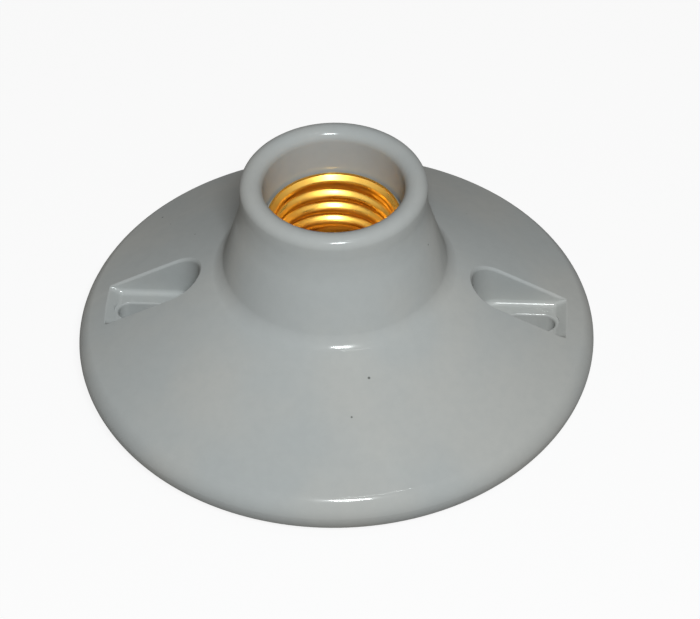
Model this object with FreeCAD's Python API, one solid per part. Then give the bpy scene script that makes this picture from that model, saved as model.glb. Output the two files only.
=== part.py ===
import FreeCAD, Part

# Surface-mounted screw lamp holder: a glazed porcelain body on a dished round base, with a rolled
# brass screw shell, a spring centre contact and two wire terminals. All lengths are millimetres.
# +Z runs up along the lamp's axis and z = 0 is the foot that lies on the box or wall.
# X runs through the two fixing slots, and the wire terminals lie along Y.

import math
import os

from FreeCAD import Vector

# Porcelain body, outside
TOP_Z = 51.0            # height of the lip above the foot
MOUTH_R = 14.8          # mouth above the screw shell
LIP_WALL = 4.8          # wall of the neck at the lip
LIP_INNER_ROUND = 2.5   # rounding of the lip into the well
FLARE_DROP = 8.0        # where the neck starts to widen, below the lip
FLARE_ROUND = 22.0
NECK_FOOT_R = 24.2      # neck where it meets the dome
NECK_FOOT_ROUND = 5.0
DOME_ANGLE = 28.7       # slope of the dome, degrees
RIM_R = 55.4            # widest radius
RIM_Z = 7.3             # height of the widest line
RIM_ROUND = 4.8         # rounding of the dome into the rim
RIM_UNDER_ROUND = 6.2   # rounding of the rim down to its sloping underside
RIM_UNDER_ANGLE = 38.0  # slope of the underside, degrees
FOOT_R = 50.0           # outer edge of the flat foot
FOOT_WIDTH = 6.6

# Porcelain body, underside and well
DOME_WALL = 6.0
CAVITY_DRAFT = 0.8      # inward lean of the rim's inner wall
CAVITY_BEVEL = 2.5      # broken corners of the wiring cavity
HUB_R = 19.4            # hub under the neck, at its root
HUB_DRAFT = 0.5
HUB_FACE_Z = 5.5
HUB_BEVEL = 0.8
WELL_FLOOR_Z = 15.0
WELL_STEP = 0.5         # the well is this much narrower around the screw shell
ISLAND_H = 2.5          # raised pad under the centre contact
ISLAND_R = 5.6
ISLAND_TAIL_W = 7.4

# Fixing recesses and slots
RECESS_W = 11.6
RECESS_INNER_R = 29.0   # start of the recess, from the axis
RECESS_FLOOR_Z = 11.8
RECESS_END_RUN = 2.7    # slanted end of the recess, along X
RECESS_END_RISE = 1.6
RECESS_FLOOR_ROUND = 1.2
RECESS_END_STRETCH = 6  # the slanted end runs on past the dome's surface
BOSS_WALL = 3.2         # porcelain around and below the recess
BOSS_FLOOR = 4.6
SLOT_W = 5.0
BOX_SCREW_SPACING = 88.9   # widest screw spacing that the slots take
SLOT_REACH = 5.4           # how far a screw can move along each slot

# Screw shell, drawn and rolled from brass sheet
THREAD_PITCH = 3.629
THREAD_ROOT_R = 13.3    # inside of the shell at the thread's outward rolls
THREAD_DEPTH = 1.12
SHEET = 0.4
SHELL_DROP = 10.4       # top edge of the shell below the lip
COLLAR_H = 1.6
COLLAR_GAP = 0.15       # between the flared collar and the well
SHELL_BEND = 1.0        # pressed corner between the bottom and the wall
FLANGE_R = 6.2          # hole in the shell's bottom
KEYHOLE_W = 10.4        # gap in the bottom around the centre contact's screw
KEYHOLE_REACH = 10.7

# Centre contact
LEAF_T = 0.5
LEAF_W = 6.0
LEAF_TAIL = 2.9         # leaf behind its screw
LEAF_ROOT = 3.0         # from the screw to the root bend
LEAF_RISE = 3.9
LEAF_RUN = 5.2
LEAF_TIP_DROP = 1.5
LEAF_TIP_RUN = 2.2
LEAF_BEND = 1.2
LEAF_CORNER = 1.0

# Terminals
SHELL_SCREW_R = 9.1     # fixing screws of the shell, from the axis
SHELL_SCREW_ANGLE = 30.0
CONTACT_SCREW_Y = 6.4
WIRE_SCREW_Y = 14.6
PLATE_Z = 9.0           # seat of the terminal plates
PLATE_T = 1.2
PLATE_W = 9.0
PLATE_END_Y = 18.3
PLATE_EDGE = 3.0        # brass around the small screws
PLATE_ROUND = 0.8
POCKET_GAP = 0.35
WASHER_T = 1.0
WASHER_L = 7.4
WASHER_LIP_H = 0.9      # lips that straddle the terminal plate
WASHER_LIP_GAP = 0.2
WASHER_ROUND = 0.5
SEAT_GAP = 0.05         # under a tight washer and a tight head

# Screws
SMALL_R = 1.5
SMALL_HEAD_R = 2.6
SMALL_HEAD_H = 1.9
SHELL_SCREW_L = 8.0
CONTACT_SCREW_L = 12.0
WIRE_R = 2.0
WIRE_HEAD_R = 3.7
WIRE_HEAD_H = 2.2
WIRE_SCREW_TIP = 2.6    # shank above the terminal plate when tight
BLIND_DEPTH = 1.0       # hole past the tip of a tight wire screw
HOLE_GAP = 0.25         # clearance holes in porcelain and sheet
THREAD_GAP = 0.05
HEAD_BEVEL_SHARE = 0.45 # bevel round a head, as a share of its height
DRIVE_SLOT_W = 0.9
DRIVE_SLOT_SHARE = 0.5  # depth of the driver slot, as a share of the head's height
TIP_CHAMFER = 0.4

# Derived places
NECK_R = MOUTH_R + LIP_WALL
DOME_FALL = math.tan(math.radians(DOME_ANGLE))
DOME_EDGE_Z = RIM_Z + RIM_ROUND * math.tan(math.radians(90 - DOME_ANGLE) / 2)
SLOT_OUTER_X = BOX_SCREW_SPACING / 2
SLOT_INNER_X = SLOT_OUTER_X - SLOT_REACH
RECESS_OUTER_X = SLOT_OUTER_X + SLOT_W / 2
RECESS_ROUND_X = RECESS_INNER_R + RECESS_W / 2
BOSS_Z = RECESS_FLOOR_Z - BOSS_FLOOR
ISLAND_Z = WELL_FLOOR_Z + ISLAND_H
SHELL_TOP_Z = TOP_Z - SHELL_DROP
WELL_R = MOUTH_R - WELL_STEP
SHELL_WALL_R = THREAD_ROOT_R - THREAD_DEPTH / 2 + SHEET / 2
COLLAR_R = WELL_R - COLLAR_GAP - SHEET / 2
LEAF_TOP_Z = ISLAND_Z + LEAF_T
LEAF_ROOT_Y = LEAF_ROOT - CONTACT_SCREW_Y
PLATE_UNDER_Z = PLATE_Z - PLATE_T
WASHER_TOP_Z = PLATE_UNDER_Z - SEAT_GAP
WASHER_UNDER_Z = WASHER_TOP_Z - WASHER_T
WASHER_W = PLATE_W + 2 * (WASHER_LIP_GAP + WASHER_T)
WIRE_HEAD_Z = WASHER_UNDER_Z - SEAT_GAP
SHELL_SCREW_X = SHELL_SCREW_R * math.cos(math.radians(SHELL_SCREW_ANGLE))
SHELL_SCREW_Y = SHELL_SCREW_R * math.sin(math.radians(SHELL_SCREW_ANGLE))
UP = Vector(0, 0, 1)
TOUCH = 1e-6


def dome_z(r):
    """Height of the dome's slope at a radius."""
    return DOME_EDGE_Z + (RIM_R - r) * DOME_FALL


def ceiling_z(r):
    """Height of the wiring cavity's ceiling, one wall below the dome."""
    return dome_z(r) - DOME_WALL / math.cos(math.radians(DOME_ANGLE))


def rounded(points, closed=False):
    """Straight runs joined by tangent arcs; each point is (Vector, corner radius)."""
    count = len(points)
    arrive = [p for p, r in points]
    leave = list(arrive)
    arcs = {}
    for i in range(count):
        here, radius = points[i]
        if radius == 0:
            continue
        back = (points[i - 1][0] - here).normalize()
        ahead = (points[(i + 1) % count][0] - here).normalize()
        half = back.getAngle(ahead) / 2
        arrive[i] = here + back * (radius / math.tan(half))
        leave[i] = here + ahead * (radius / math.tan(half))
        middle = here + (back + ahead).normalize() * (radius / math.sin(half) - radius)
        arcs[i] = Part.Arc(arrive[i], middle, leave[i]).toShape()
    edges = []
    for i in range(count if closed else count - 1):
        j = (i + 1) % count
        if i in arcs:
            edges.append(arcs[i])
        if leave[i].distanceToPoint(arrive[j]) > TOUCH:
            edges.append(Part.LineSegment(leave[i], arrive[j]).toShape())
    return edges


def face_of(edges):
    return Part.Face(Part.Wire(edges))


def in_section(points):
    """(r, z, corner radius) points as points of the XZ plane."""
    return [(Vector(r, 0, z), c) for r, z, c in points]


def spin(edges):
    """Solid of revolution about the lamp's axis from a closed outline in XZ."""
    return face_of(edges).revolve(Vector(0, 0, 0), UP, 360)


def prism(points, low, high):
    """Upright prism over a plan outline of (x, y, corner radius) points."""
    corners = [(Vector(x, y, low), r) for x, y, r in points]
    return face_of(rounded(corners, closed=True)).extrude(UP * (high - low))


def block(x0, x1, y0, y1, low, high, corner):
    """Upright block with round corners in plan."""
    return prism([(x0, y0, corner), (x1, y0, corner), (x1, y1, corner), (x0, y1, corner)], low, high)


def rod(r, low, high, x=0.0, y=0.0):
    """Upright round bar between two heights."""
    return Part.makeCylinder(r, high - low, Vector(x, y, low))


def stadium(x0, x1, width, low, high):
    """Upright bar with two round ends, whose centres are x0 and x1 on the X axis."""
    half = width / 2
    middle = Part.makeBox(x1 - x0, width, high - low, Vector(x0, -half, low))
    return middle.fuse([rod(half, low, high, x0), rod(half, low, high, x1)]).removeSplitter()


def both_sides(shape):
    """A shape and its copy turned half a turn about the lamp's axis."""
    other = shape.copy()
    other.rotate(Vector(0, 0, 0), UP, 180)
    return [shape, other]


def strip(points, thickness):
    """Outline of bent sheet about a middle line; each point is (Vector, bend radius)."""
    half = thickness / 2
    middle = [p for p, r in points]
    runs = [(b - a).normalize() for a, b in zip(middle, middle[1:])]
    plane = runs[0].cross(runs[1]).normalize()
    sides = {1: [], -1: []}
    for i, (here, radius) in enumerate(points):
        before = runs[max(i - 1, 0)]
        after = runs[min(i, len(runs) - 1)]
        normal = plane.cross(before) + plane.cross(after)
        reach = half / (1 + before.dot(after))
        turn = math.copysign(1, before.cross(after).dot(plane))
        for side in sides:
            bend = radius - side * half * turn if radius else 0
            sides[side].append((here + normal * (side * reach), bend))
    return rounded(sides[1] + sides[-1][::-1], closed=True)


def outer_section():
    """Half section of the porcelain from the well's floor over lip, neck and dome to the foot."""
    under_edge_z = (RIM_R - FOOT_R) * math.tan(math.radians(RIM_UNDER_ANGLE))
    return rounded(in_section([
        (WELL_R, WELL_FLOOR_Z, 0),
        (WELL_R, SHELL_TOP_Z, 0),
        (MOUTH_R, SHELL_TOP_Z, 0),
        (MOUTH_R, TOP_Z, LIP_INNER_ROUND),
        (NECK_R, TOP_Z, LIP_WALL - LIP_INNER_ROUND),
        (NECK_R, TOP_Z - FLARE_DROP, FLARE_ROUND),
        (NECK_FOOT_R, dome_z(NECK_FOOT_R), NECK_FOOT_ROUND),
        (RIM_R, DOME_EDGE_Z, RIM_ROUND),
        (RIM_R, under_edge_z, RIM_UNDER_ROUND),
        (FOOT_R, 0, 0),
    ]))


def inside_of_dome():
    """Solid whose sides run in the middle of the dome's wall, to trim what is added below it."""
    half_wall = DOME_WALL / 2 / math.cos(math.radians(DOME_ANGLE))
    return spin(rounded(in_section([
        (0, BOSS_Z, 0),
        (FOOT_R, BOSS_Z, 0),
        (FOOT_R, dome_z(FOOT_R) - half_wall, 0),
        (0, dome_z(0) - half_wall, 0),
    ]), closed=True))


def hollow_body():
    """Porcelain turned about the lamp's axis: well, neck and dome over the wiring cavity and hub."""
    cavity_r = FOOT_R - FOOT_WIDTH
    cavity_top_r = cavity_r - CAVITY_DRAFT
    inside = rounded(in_section([
        (FOOT_R, 0, 0),
        (cavity_r, 0, 0),
        (cavity_top_r, ceiling_z(cavity_top_r) - CAVITY_BEVEL, 0),
        (cavity_top_r - CAVITY_BEVEL, ceiling_z(cavity_top_r - CAVITY_BEVEL), 0),
        (HUB_R + CAVITY_BEVEL, ceiling_z(HUB_R + CAVITY_BEVEL), 0),
        (HUB_R, ceiling_z(HUB_R) - CAVITY_BEVEL, 0),
        (HUB_R - HUB_DRAFT, HUB_FACE_Z + HUB_BEVEL, 0),
        (HUB_R - HUB_DRAFT - HUB_BEVEL, HUB_FACE_Z, 0),
        (0, HUB_FACE_Z, 0),
        (0, WELL_FLOOR_Z, 0),
        (WELL_R, WELL_FLOOR_Z, 0),
    ]))
    body = spin(outer_section() + inside)
    body.rotate(Vector(0, 0, 0), UP, 90)
    return body


def contact_island():
    """Raised pad on the well's floor that holds the centre contact above the shell's bottom."""
    half = ISLAND_TAIL_W / 2
    tail_y = half - CONTACT_SCREW_Y - LEAF_TAIL - (ISLAND_TAIL_W - LEAF_W) / 2
    low = HUB_FACE_Z + HUB_BEVEL
    tail = Part.makeBox(ISLAND_TAIL_W, -tail_y, ISLAND_Z - low, Vector(-half, tail_y, low))
    return [rod(ISLAND_R, low, ISLAND_Z), tail, rod(half, low, ISLAND_Z, 0, tail_y)]


def recess_tool():
    """Room for a fixing screw's head: flat floor, round inner end and slanted outer end."""
    side = RECESS_W / 2
    run = RECESS_OUTER_X + RECESS_END_STRETCH * RECESS_END_RUN
    rise = RECESS_FLOOR_Z + RECESS_END_STRETCH * RECESS_END_RISE
    section = [
        (RECESS_INNER_R, RECESS_FLOOR_Z, 0),
        (RECESS_OUTER_X, RECESS_FLOOR_Z, 0),
        (run, rise, 0),
        (run, TOP_Z, 0),
        (RECESS_INNER_R, TOP_Z, 0),
    ]
    corners = [(Vector(x, -side, z), r) for x, z, r in section]
    trough = face_of(rounded(corners, closed=True)).extrude(Vector(0, RECESS_W, 0))
    trough = trough.common(stadium(RECESS_ROUND_X, run + side, RECESS_W, 0, TOP_Z))
    floor = [e for e in trough.Edges if all(abs(v.Z - RECESS_FLOOR_Z) < TOUCH for v in e.Vertexes)]
    return trough.makeFillet(RECESS_FLOOR_ROUND, floor)


def terminal_pockets():
    """Pockets in the hub's face for both terminal plates, open outwards for the wires."""
    reach = HUB_R + POCKET_GAP
    wide_x = SHELL_SCREW_X + PLATE_EDGE + POCKET_GAP
    wide_low = SHELL_SCREW_Y - PLATE_EDGE - POCKET_GAP
    wide_high = SHELL_SCREW_Y + PLATE_EDGE + POCKET_GAP
    mouth_x = WASHER_W / 2 + POCKET_GAP
    snug_x = PLATE_W / 2 + POCKET_GAP
    snug_y = WIRE_SCREW_Y - WASHER_L / 2 - POCKET_GAP
    start_y = CONTACT_SCREW_Y - PLATE_EDGE - POCKET_GAP
    return [
        block(-wide_x, wide_x, wide_low, wide_high, 0, PLATE_Z, PLATE_ROUND),
        block(-mouth_x, mouth_x, wide_high - PLATE_ROUND * 2, reach, 0, PLATE_Z, 0),
        block(-snug_x, snug_x, -snug_y - PLATE_ROUND * 2, -start_y, 0, PLATE_Z, PLATE_ROUND),
        block(-mouth_x, mouth_x, -reach, -snug_y, 0, PLATE_Z, 0),
    ]


def body_holes():
    """Clearance holes for the small screws and blind holes for the tips of the wire screws."""
    small = SMALL_R + HOLE_GAP
    wire = WIRE_R + HOLE_GAP
    blind_top = PLATE_Z + WIRE_SCREW_TIP + BLIND_DEPTH
    return [
        rod(small, 0, ISLAND_Z, SHELL_SCREW_X, SHELL_SCREW_Y),
        rod(small, 0, ISLAND_Z, -SHELL_SCREW_X, SHELL_SCREW_Y),
        rod(small, 0, ISLAND_Z + 1, 0, -CONTACT_SCREW_Y),
        rod(wire, 0, blind_top, 0, WIRE_SCREW_Y),
        rod(wire, 0, blind_top, 0, -WIRE_SCREW_Y),
    ]


def porcelain_body():
    """One pressed and glazed piece of porcelain with everything else mounted in it."""
    boss_w = RECESS_W + 2 * BOSS_WALL
    boss = stadium(RECESS_ROUND_X, RIM_R, boss_w, BOSS_Z, TOP_Z).common(inside_of_dome())
    body = hollow_body().fuse(both_sides(boss) + contact_island())
    slot = stadium(SLOT_INNER_X, SLOT_OUTER_X, SLOT_W, 0, RECESS_FLOOR_Z + 1)
    body = body.cut(both_sides(recess_tool()) + both_sides(slot) + terminal_pockets() + body_holes())
    return body.removeSplitter()


def screw_shell():
    """Brass cup on its mean thread radius, with a flared collar and a keyhole in its bottom."""
    seat = WELL_FLOOR_Z + SHEET / 2
    outline = strip(in_section([
        (FLANGE_R, seat, 0),
        (SHELL_WALL_R - SHELL_BEND, seat, 0),
        (SHELL_WALL_R, seat + SHELL_BEND, 0),
        (SHELL_WALL_R, SHELL_TOP_Z - COLLAR_H, 0),
        (COLLAR_R, SHELL_TOP_Z - COLLAR_H / 3, 0),
        (COLLAR_R, SHELL_TOP_Z, 0),
    ]), SHEET)
    hole = SMALL_R + HOLE_GAP
    top = WELL_FLOOR_Z + 1
    half = KEYHOLE_W / 2
    return spin(outline).cut([
        rod(hole, 0, top, SHELL_SCREW_X, SHELL_SCREW_Y),
        rod(hole, 0, top, -SHELL_SCREW_X, SHELL_SCREW_Y),
        block(-half, half, -KEYHOLE_REACH, 0, 0, top, PLATE_ROUND),
    ])


def centre_contact():
    """Springy leaf that rises from its screw to meet the lamp's tip on the axis."""
    base = ISLAND_Z + LEAF_T / 2
    crest_y = LEAF_ROOT_Y + LEAF_RUN
    crest_z = base + LEAF_RISE
    tail_y = -CONTACT_SCREW_Y - LEAF_TAIL
    tip_y = crest_y + LEAF_TIP_RUN
    half = LEAF_W / 2
    leaf = face_of(strip([
        (Vector(-half, tail_y, base), 0),
        (Vector(-half, LEAF_ROOT_Y, base), LEAF_BEND),
        (Vector(-half, crest_y, crest_z), LEAF_BEND),
        (Vector(-half, tip_y, crest_z - LEAF_TIP_DROP), 0),
    ], LEAF_T)).extrude(Vector(LEAF_W, 0, 0))
    blank = block(-half, half, tail_y, tip_y + LEAF_T, 0, TOP_Z, LEAF_CORNER)
    hole = rod(SMALL_R + HOLE_GAP, 0, LEAF_TOP_Z + 1, 0, -CONTACT_SCREW_Y)
    return leaf.common(blank).cut(hole)


def shell_terminal():
    """Brass plate under the hub that both shell screws and one wire screw thread into."""
    wide = SHELL_SCREW_X + PLATE_EDGE
    half = PLATE_W / 2
    low = SHELL_SCREW_Y - PLATE_EDGE
    shoulder = SHELL_SCREW_Y + PLATE_EDGE
    plate = prism([
        (-wide, low, PLATE_ROUND),
        (wide, low, PLATE_ROUND),
        (wide, shoulder, PLATE_ROUND),
        (half, shoulder, PLATE_ROUND),
        (half, PLATE_END_Y, PLATE_ROUND),
        (-half, PLATE_END_Y, PLATE_ROUND),
        (-half, shoulder, PLATE_ROUND),
        (-wide, shoulder, PLATE_ROUND),
    ], PLATE_UNDER_Z, PLATE_Z)
    small = SMALL_R + THREAD_GAP
    return plate.cut([
        rod(small, 0, PLATE_Z + 1, SHELL_SCREW_X, SHELL_SCREW_Y),
        rod(small, 0, PLATE_Z + 1, -SHELL_SCREW_X, SHELL_SCREW_Y),
        rod(WIRE_R + THREAD_GAP, 0, PLATE_Z + 1, 0, WIRE_SCREW_Y),
    ])


def contact_terminal():
    """Brass plate under the hub for the centre contact's screw and the other wire screw."""
    half = PLATE_W / 2
    start = CONTACT_SCREW_Y - PLATE_EDGE
    plate = block(-half, half, -PLATE_END_Y, -start, PLATE_UNDER_Z, PLATE_Z, PLATE_ROUND)
    return plate.cut([
        rod(SMALL_R + THREAD_GAP, 0, PLATE_Z + 1, 0, -CONTACT_SCREW_Y),
        rod(WIRE_R + THREAD_GAP, 0, PLATE_Z + 1, 0, -WIRE_SCREW_Y),
    ])


def slotted_screw(r, length, head_r, head_h):
    """Pan head screw standing on its tip, with its head's seat at z = 0."""
    bevel = head_h * HEAD_BEVEL_SHARE
    body = spin(rounded(in_section([
        (0, -length, 0),
        (r - TIP_CHAMFER, -length, 0),
        (r, TIP_CHAMFER - length, 0),
        (r, 0, 0),
        (head_r, 0, 0),
        (head_r, head_h - bevel, 0),
        (head_r - bevel, head_h, 0),
        (0, head_h, 0),
    ]), closed=True))
    depth = head_h * DRIVE_SLOT_SHARE
    cut = Vector(-head_r, -DRIVE_SLOT_W / 2, head_h - depth)
    return body.cut(Part.makeBox(2 * head_r, DRIVE_SLOT_W, depth + 1, cut))


def small_screw(length, x, y, z):
    screw = slotted_screw(SMALL_R, length, SMALL_HEAD_R, SMALL_HEAD_H)
    screw.translate(Vector(x, y, z))
    return screw


def wire_screw(y):
    """Binding screw under the hub, its head facing down."""
    length = WIRE_SCREW_TIP + PLATE_Z - WIRE_HEAD_Z
    screw = slotted_screw(WIRE_R, length, WIRE_HEAD_R, WIRE_HEAD_H)
    screw.rotate(Vector(0, 0, 0), Vector(1, 0, 0), 180)
    screw.translate(Vector(0, y, WIRE_HEAD_Z))
    return screw


def clamp_washer(y):
    """Square washer whose lips straddle the terminal plate, so that it can't turn with its screw."""
    half = WASHER_W / 2
    low_y, high_y = y - WASHER_L / 2, y + WASHER_L / 2
    lip_top = WASHER_TOP_Z + WASHER_LIP_H
    plate = block(-half, half, low_y, high_y, WASHER_UNDER_Z, lip_top, WASHER_ROUND)
    room = WASHER_W - 2 * WASHER_T
    return plate.cut([
        Part.makeBox(room, WASHER_L, lip_top, Vector(-room / 2, low_y, WASHER_TOP_Z)),
        rod(WIRE_R + HOLE_GAP, 0, lip_top, 0, y),
    ])


flange_top = WELL_FLOOR_Z + SHEET
pieces = {
    "porcelain_body": porcelain_body(),
    "screw_shell": screw_shell(),
    "centre_contact": centre_contact(),
    "shell_screw_right": small_screw(SHELL_SCREW_L, SHELL_SCREW_X, SHELL_SCREW_Y, flange_top),
    "shell_screw_left": small_screw(SHELL_SCREW_L, -SHELL_SCREW_X, SHELL_SCREW_Y, flange_top),
    "contact_screw": small_screw(CONTACT_SCREW_L, 0, -CONTACT_SCREW_Y, LEAF_TOP_Z),
    "shell_terminal": shell_terminal(),
    "contact_terminal": contact_terminal(),
    "shell_clamp_washer": clamp_washer(WIRE_SCREW_Y),
    "contact_clamp_washer": clamp_washer(-WIRE_SCREW_Y),
    "shell_wire_screw": wire_screw(WIRE_SCREW_Y),
    "contact_wire_screw": wire_screw(-WIRE_SCREW_Y),
}

os.makedirs("parts", exist_ok=True)
for name, shape in pieces.items():
    shape.exportStep(f"parts/{name}.step")
    print(name, "solids", len(shape.Solids), "volume", round(shape.Volume, 2), "valid", shape.isValid())
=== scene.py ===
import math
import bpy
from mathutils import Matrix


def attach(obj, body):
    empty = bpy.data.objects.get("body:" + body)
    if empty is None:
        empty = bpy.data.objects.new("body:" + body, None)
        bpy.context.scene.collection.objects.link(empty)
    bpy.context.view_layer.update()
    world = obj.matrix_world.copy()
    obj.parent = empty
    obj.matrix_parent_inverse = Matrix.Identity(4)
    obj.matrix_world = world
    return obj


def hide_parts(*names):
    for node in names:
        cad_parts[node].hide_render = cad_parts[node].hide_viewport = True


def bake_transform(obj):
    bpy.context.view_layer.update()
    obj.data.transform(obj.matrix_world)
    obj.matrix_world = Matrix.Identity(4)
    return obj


bl_info = {
    "name": "Porcelain Lamp Holder",
    "version": (1, 0, 0),
    "blender": (4, 5, 0),
    "location": "3D View > Sidebar > Lamp Holder",
    "description": "Dresses the surface-mounted porcelain lamp holder and sets up its studio",
    "category": "Object",
}

import bmesh
import bpy
from bpy.props import FloatProperty, FloatVectorProperty, IntProperty, PointerProperty
from mathutils import Matrix, Vector

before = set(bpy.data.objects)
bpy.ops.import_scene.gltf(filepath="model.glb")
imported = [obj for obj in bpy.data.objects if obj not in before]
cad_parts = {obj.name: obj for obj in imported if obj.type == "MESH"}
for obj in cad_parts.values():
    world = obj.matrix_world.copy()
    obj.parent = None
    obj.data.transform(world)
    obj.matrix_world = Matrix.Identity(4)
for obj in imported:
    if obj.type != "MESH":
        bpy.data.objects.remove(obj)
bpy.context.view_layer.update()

MM = 0.001
UP = Vector((0, 0, 1))
TURN = math.tau

# Lesser sizes of the porcelain, in millimetres
LIP_INNER_ROUND = 2.5
FLARE_DROP, FLARE_ROUND = 8.0, 22.0
NECK_FOOT_ROUND = 5.0
RIM_ROUND, RIM_UNDER_ROUND, RIM_UNDER_SLOPE = 4.8, 6.2, math.tan(math.radians(38))
FOOT_ROUND = 0.5
WELL_STEP = 0.5  # the well is this much narrower around the shell
LEDGE_DROP, LEDGE_ROUND = 1.2, 0.2  # the step lies below the shell's top edge
DOME_WALL = 6.0
CAVITY_DRAFT, CAVITY_ROUND = 0.8, 2.5
HUB_R, HUB_FACE_Z, HUB_DRAFT, HUB_ROUND = 19.4, 5.5, 0.5, 0.8
ISLAND_R, ISLAND_H, ISLAND_TAIL_W, ISLAND_TAIL_Y = 5.6, 2.5, 7.4, -6.3
RECESS_INNER_R, RECESS_OUTER_X = 29.0, 46.95
RECESS_END_SLOPE = 1.6 / 2.7
RECESS_FLOOR_ROUND, RECESS_END_ROUND = 1.3, 1.6
BOSS_WALL, BOSS_Z, BOSS_ROUND, BOSS_SINK = 3.2, 7.2, 0.7, 3.4
SLOT_INNER_X, SLOT_OUTER_X = 39.05, 44.45
SLOT_ROUND = 0.55
POCKET_GAP, POCKET_ROUND = 0.35, 0.25
HOLE_GAP = 0.25
BLIND_DEPTH = 1.0  # hole past the tip of a tight wire screw

# Lesser sizes of the metal parts, in millimetres
SHELL_GAP = 0.15  # between the flared collar and the well
SHELL_BEND, SHELL_HOLE_R = 1.0, 6.2
COLLAR_H, COLLAR_BEND, COLLAR_EDGE, COLLAR_EDGE_BEND = 1.6, 0.9, 0.4, 0.25
THREAD_STOP, THREAD_RISE, THREAD_FALL, THREAD_START = 2.3, 2.2, 1.3, 0.4
KEYHOLE_W, KEYHOLE_REACH = 10.4, 10.7
LEAF_TAIL, LEAF_ROOT, LEAF_RUN, LEAF_BEND, LEAF_CORNER = 2.9, 3.0, 5.2, 1.2, 1.0
LEAF_TIP_RUN, LEAF_TIP_DROP, LEAF_TIP_CUT = 2.2, 1.5, 2.34
PLATE_Z, PLATE_T, PLATE_CORNER = 9.0, 1.2, 0.8
PLATE_END_Y, PLATE_EDGE = 18.3, 3.0
PLATE_SCREW_GAP = 0.05
WASHER_T, WASHER_HALF_L, WASHER_CORNER = 1.0, 3.7, 0.6
WASHER_LIP_H, WASHER_LIP_GAP = 0.9, 0.2
SEAT_GAP = 0.05  # under a tight washer
SMALL_HEAD_R, SMALL_HEAD_H, SMALL_PITCH = 2.6, 1.9, 0.5
WIRE_HEAD_R, WIRE_HEAD_H, WIRE_PITCH = 3.7, 2.2, 0.7
SHELL_SCREW_L, CONTACT_SCREW_L = 8.0, 12.0
WIRE_SCREW_TIP = 2.6  # shank above the terminal plate when tight
SCREW_TIP_CHAMFER, SCREW_NECK, SCREW_PLAIN = 0.5, 0.4, 0.45  # the neck and both ends have no thread
DRIVE_SLOT_W = 0.9

# Places of the screws, in millimetres
SHELL_SCREW_X, SHELL_SCREW_Y = 7.881, 4.55
CONTACT_SCREW_Y = -6.4
WIRE_SCREW_Y = 14.6
WIRE_SEAT_Z = PLATE_Z - PLATE_T - SEAT_GAP - WASHER_T - SEAT_GAP  # under the washer, where the head bears

# Studio: sizes and distances in metres, heights and the camera's aim in millimetres
FLOOR_SIZE, FLOOR_DROP = 3.0, 0.15
LAMP_DISTANCE, LAMP_AIM_Z = 0.90, 20.0
LAMP_COLOUR = (0.945, 0.975, 1.0)
KEY_SIZE, TUBE_SIZE = (0.185, 0.11), (0.30, 0.013)
TUBE_TURN, TUBE_RISE = math.radians(19), math.radians(17)  # from the key light
CAMERA_PIVOT_Z, CAMERA_AIM = 20.0, (3.01, 0, 13.86)


def metres(*values):
    return Vector([v * MM for v in values])


class PorcelainSettings(bpy.types.PropertyGroup):
    """Sizes and colours of the glazed body."""

    height: FloatProperty(
        name="Height", description="Height of the lip above the foot",
        default=51.0 * MM, unit="LENGTH",
    )
    mouth_radius: FloatProperty(
        name="Mouth", description="Radius of the mouth above the shell",
        default=14.8 * MM, unit="LENGTH",
    )
    lip_wall: FloatProperty(
        name="Lip wall", description="Thickness of the neck at the lip",
        default=4.8 * MM, unit="LENGTH",
    )
    neck_foot: FloatProperty(
        name="Neck foot", description="Radius where the neck meets the dome",
        default=24.2 * MM, unit="LENGTH",
    )
    rim_radius: FloatProperty(
        name="Rim", description="Widest radius of the base",
        default=55.4 * MM, unit="LENGTH",
    )
    rim_height: FloatProperty(
        name="Rim height", description="Height of the widest line",
        default=7.3 * MM, unit="LENGTH",
    )
    dome_angle: FloatProperty(
        name="Dome slope", description="Slope of the dome",
        default=math.radians(28.7), subtype="ANGLE",
    )
    foot_radius: FloatProperty(
        name="Foot", description="Outer radius of the flat foot",
        default=50.0 * MM, unit="LENGTH",
    )
    foot_width: FloatProperty(
        name="Foot width", description="Width of the flat foot",
        default=6.6 * MM, unit="LENGTH",
    )
    well_floor: FloatProperty(
        name="Well floor", description="Height of the well's floor",
        default=15.0 * MM, unit="LENGTH",
    )
    recess_width: FloatProperty(
        name="Recess width", description="Width of each fixing recess",
        default=11.6 * MM, unit="LENGTH",
    )
    recess_floor: FloatProperty(
        name="Recess floor", description="Height of the recess floors",
        default=11.8 * MM, unit="LENGTH",
    )
    slot_width: FloatProperty(
        name="Slot width", description="Width of each fixing slot",
        default=5.0 * MM, unit="LENGTH",
    )
    edge_round: FloatProperty(
        name="Glazed edge", description="Soft edge that the glaze leaves round each recess",
        default=1.05 * MM, unit="LENGTH",
    )
    steps: IntProperty(
        name="Steps", description="Steps round the body",
        default=192, min=32, max=400,
    )
    glaze: FloatVectorProperty(
        name="Glaze", description="Colour of the glaze",
        subtype="COLOR", default=(0.42, 0.445, 0.44),
    )
    warm_glaze: FloatVectorProperty(
        name="Thin glaze", description="Warmer colour where the glaze is thin",
        subtype="COLOR", default=(0.455, 0.465, 0.445),
    )
    gloss: FloatProperty(
        name="Gloss", description="Share of the light that the glaze mirrors, the same from every side",
        default=0.045, min=0.0, max=1.0,
    )
    bisque: FloatVectorProperty(
        name="Bisque", description="Bare porcelain of the foot",
        subtype="COLOR", default=(0.62, 0.58, 0.50),
    )
    speck: FloatVectorProperty(
        name="Specks", description="Dark iron specks in the glaze",
        subtype="COLOR", default=(0.10, 0.11, 0.10),
    )


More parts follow.
